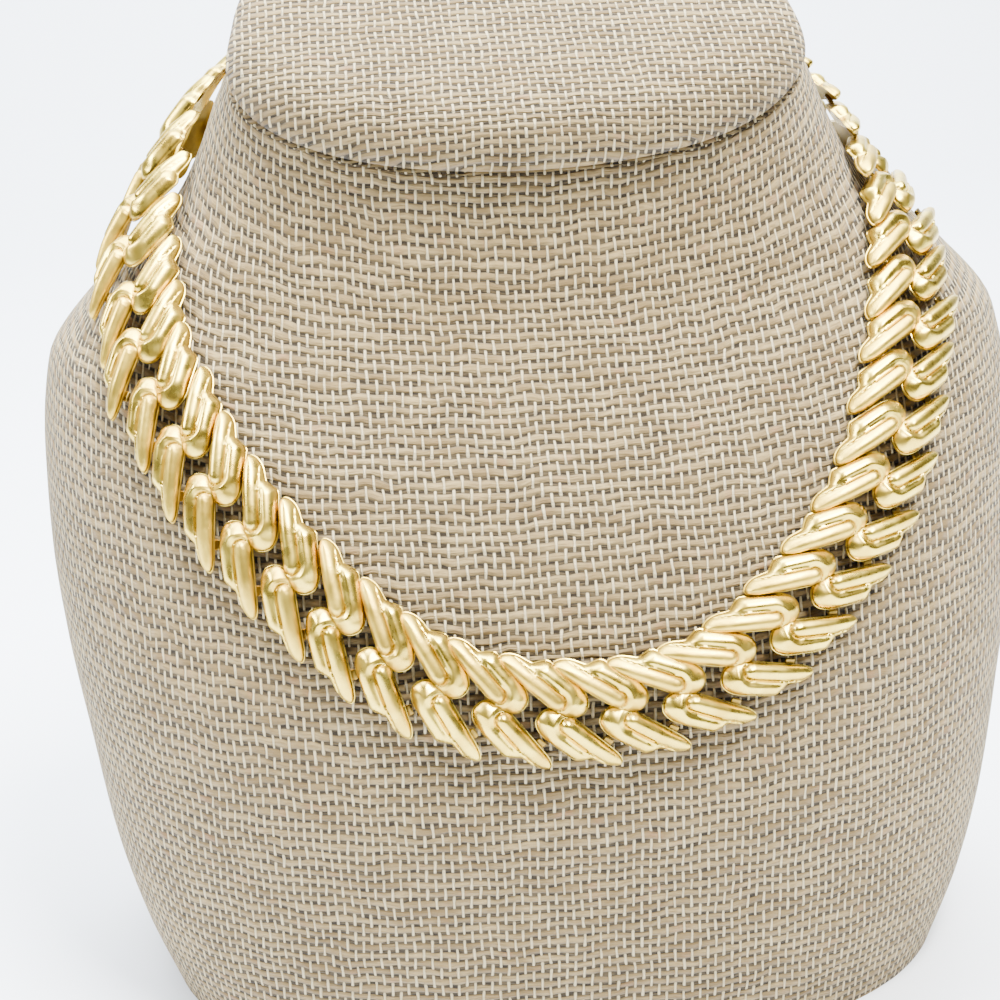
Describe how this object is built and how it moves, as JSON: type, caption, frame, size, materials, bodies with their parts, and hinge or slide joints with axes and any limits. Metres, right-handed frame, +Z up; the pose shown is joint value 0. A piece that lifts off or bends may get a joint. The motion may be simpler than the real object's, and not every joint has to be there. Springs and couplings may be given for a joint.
{
  "type": "collar choker necklace on a neck bust",
  "caption": "Closed collar of slanted twin-petal cast links in satin gold tone, lying on a plain burlap-covered neck-and-shoulders display bust with a flat base.",
  "frame": {"origin": "middle of the bounding box at the surface that the bust's flat base stands on", "axes": "+Z up along the neck, -Y to the front of the chest, +X to the viewer's right when facing the front"},
  "size_m": [0.168, 0.1114, 0.1848],
  "materials": {
    "gold_tone": "satin yellow-gold plating, softly polished on the ridges, with fine grain on the petals' long lobes",
    "burlap": "coarse open plain weave of natural jute weft and cream warp yarns, glued tight over the form"
  },
  "bodies": {
    "root": {"neck_bust": "burlap", "clasp": "gold_tone", "link_01": "gold_tone", "link_02": "gold_tone", "link_03": "gold_tone", "link_04": "gold_tone", "link_05": "gold_tone", "link_06": "gold_tone", "link_07": "gold_tone", "link_08": "gold_tone", "link_09": "gold_tone", "link_10": "gold_tone", "link_11": "gold_tone", "link_12": "gold_tone", "link_13": "gold_tone", "link_14": "gold_tone", "link_15": "gold_tone", "link_16": "gold_tone", "link_17": "gold_tone", "link_18": "gold_tone", "link_19": "gold_tone", "link_20": "gold_tone", "link_21": "gold_tone", "link_22": "gold_tone", "link_23": "gold_tone", "link_24": "gold_tone", "link_25": "gold_tone", "link_26": "gold_tone", "link_27": "gold_tone", "link_28": "gold_tone", "link_29": "gold_tone", "link_30": "gold_tone", "link_31": "gold_tone", "link_32": "gold_tone", "link_33": "gold_tone", "link_34": "gold_tone", "link_35": "gold_tone", "link_36": "gold_tone", "link_37": "gold_tone", "link_38": "gold_tone", "link_39": "gold_tone", "link_40": "gold_tone", "link_41": "gold_tone", "link_42": "gold_tone", "link_43": "gold_tone"}
  },
  "joints": []
}
